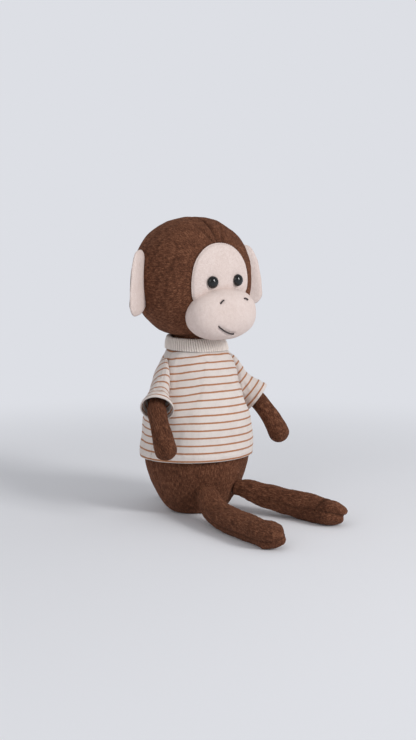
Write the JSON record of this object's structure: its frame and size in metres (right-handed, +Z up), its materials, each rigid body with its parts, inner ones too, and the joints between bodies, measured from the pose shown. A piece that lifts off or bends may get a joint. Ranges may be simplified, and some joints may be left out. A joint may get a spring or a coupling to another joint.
{
  "type": "plush monkey",
  "caption": "A sitting soft-toy monkey with long arms and legs, a cream face and ears, and a striped short-sleeved knit shirt",
  "frame": {"origin": "the middle of the flat underside of the seat, on the surface that the toy sits on", "axes": "+Z up through the head, -Y the way that the face looks, +X the toy's left side"},
  "size_m": [0.1314, 0.1802, 0.2197],
  "materials": {
    "brown_plush": "short dark brown plush pile",
    "cream_plush": "short cream plush pile",
    "striped_jersey": "off-white cotton jersey with thin rust stripes",
    "ribbed_knit": "pale grey one-by-one rib knit",
    "stuffing": "white polyester fibre",
    "pellet_cloth": "woven cotton bag of plastic pellets",
    "dark_thread": "dark brown embroidery thread",
    "eye_plastic": "polished black plastic",
    "washer_plastic": "plain moulded white plastic"
  },
  "bodies": {
    "torso": {"body_skin": "brown_plush", "body_filling": "stuffing", "seat_pellet_bag": "pellet_cloth", "shirt_front": "striped_jersey", "shirt_back": "striped_jersey", "shirt_collar": "ribbed_knit"},
    "neck": {"neck_skin": "brown_plush", "neck_filling": "stuffing"},
    "head": {"head_side_left": "brown_plush", "head_side_right": "brown_plush", "forehead_patch": "cream_plush", "muzzle_patch": "cream_plush", "head_filling": "stuffing", "muzzle_filling": "stuffing", "eye_left": "eye_plastic", "eye_right": "eye_plastic", "eye_washer_left": "washer_plastic", "eye_washer_right": "washer_plastic", "nostril_thread_left": "dark_thread", "nostril_thread_right": "dark_thread", "mouth_thread": "dark_thread"},
    "tail": {"tail_skin": "brown_plush", "tail_filling": "stuffing"},
    "ear_left": {"ear_lining_left": "cream_plush", "ear_back_left": "brown_plush"},
    "arm_left": {"sleeve_left": "striped_jersey", "arm_skin_left": "brown_plush", "arm_filling_left": "stuffing"},
    "leg_left": {"leg_top_panel_left": "brown_plush", "leg_sole_panel_left": "brown_plush", "leg_filling_left": "stuffing"},
    "ear_right": {"ear_lining_right": "cream_plush", "ear_back_right": "brown_plush"},
    "arm_right": {"sleeve_right": "striped_jersey", "arm_skin_right": "brown_plush", "arm_filling_right": "stuffing"},
    "leg_right": {"leg_top_panel_right": "brown_plush", "leg_sole_panel_right": "brown_plush", "leg_filling_right": "stuffing"}
  },
  "joints": [
    {"name": "neck_turn", "type": "hinge", "parent": "torso", "child": "neck", "pos_m": [0, 0.002, 0.1243], "axis": [0, 0, 1], "range_deg": [-45, 45]},
    {"name": "head_nod", "type": "hinge", "parent": "neck", "child": "head", "pos_m": [0, 0.002, 0.1307], "axis": [-1, 0, 0], "range_deg": [0, 20]},
    {"name": "ear_flap_left", "type": "hinge", "parent": "head", "child": "ear_left", "pos_m": [0.04631, 0.002, 0.1772], "axis": [-0.1547, 0, 0.988], "range_deg": [-25, 15], "stiffness_Nm_per_rad": 0.002},
    {"name": "ear_flap_right", "type": "hinge", "parent": "head", "child": "ear_right", "pos_m": [-0.05077, 0.002, 0.17229], "axis": [-0.0541, 0, -0.9985], "range_deg": [-25, 15], "stiffness_Nm_per_rad": 0.002},
    {"name": "shoulder_left", "type": "hinge", "parent": "torso", "child": "arm_left", "pos_m": [0.03314, 0, 0.097], "axis": [-0.9659, 0, -0.2588], "range_deg": [-60, 65]},
    {"name": "shoulder_right", "type": "hinge", "parent": "torso", "child": "arm_right", "pos_m": [-0.03314, 0, 0.097], "axis": [-0.9659, 0, 0.2588], "range_deg": [-60, 65]},
    {"name": "hip_left", "type": "hinge", "parent": "torso", "child": "leg_left", "pos_m": [0.01736, -0.03004, 0.01853], "axis": [-0.9781, -0.2079, 0], "range_deg": [-75, 30]},
    {"name": "hip_right", "type": "hinge", "parent": "torso", "child": "leg_right", "pos_m": [-0.01736, -0.03004, 0.01853], "axis": [-0.9781, 0.2079, 0], "range_deg": [-75, 30]},
    {"name": "tail_swing", "type": "hinge", "parent": "torso", "child": "tail", "pos_m": [0, 0.03346, 0.01978], "axis": [0, 0, 1], "range_deg": [0, 70]}
  ]
}
